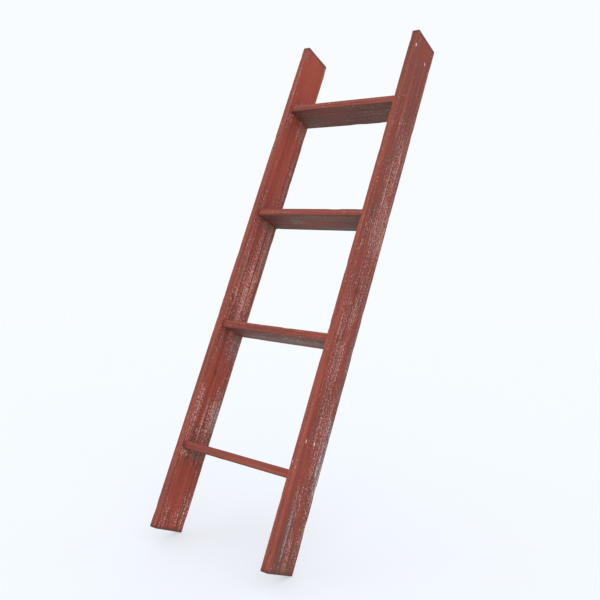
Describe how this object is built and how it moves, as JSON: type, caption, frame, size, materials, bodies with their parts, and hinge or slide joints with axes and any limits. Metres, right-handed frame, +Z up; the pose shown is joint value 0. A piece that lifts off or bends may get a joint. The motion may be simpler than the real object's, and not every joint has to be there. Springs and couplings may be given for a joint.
{
  "type": "leaning blanket ladder",
  "caption": "Leaning blanket ladder of painted boards: two board rails with flat board rungs nailed between them, for hanging quilts and throws",
  "frame": {"origin": "on the floor, under the middle of the ladder's bounding box, half way between the rails", "axes": "+Z up, +X across the ladder to the right as seen from the front, -Y towards the front; the ladder leans back towards +Y, where the wall is"},
  "size_m": [0.346, 0.654, 1.1728],
  "materials": {
    "rail_paint": "worn barn-red paint on weathered board, matt",
    "rung_paint": "worn barn-red paint on weathered board, matt",
    "nail_steel": "bright finish nail, paint over the head"
  },
  "bodies": {
    "root": {"left_rail": "rail_paint", "right_rail": "rail_paint", "rung_1": "rung_paint", "rung_2": "rung_paint", "rung_3": "rung_paint", "rung_4": "rung_paint", "nail_left_1_front": "nail_steel", "nail_left_1_back": "nail_steel", "nail_right_1_front": "nail_steel", "nail_right_1_back": "nail_steel", "nail_left_2_front": "nail_steel", "nail_left_2_back": "nail_steel", "nail_right_2_front": "nail_steel", "nail_right_2_back": "nail_steel", "nail_left_3_front": "nail_steel", "nail_left_3_back": "nail_steel", "nail_right_3_front": "nail_steel", "nail_right_3_back": "nail_steel", "nail_left_4_front": "nail_steel", "nail_left_4_back": "nail_steel", "nail_right_4_front": "nail_steel", "nail_right_4_back": "nail_steel"}
  },
  "joints": []
}
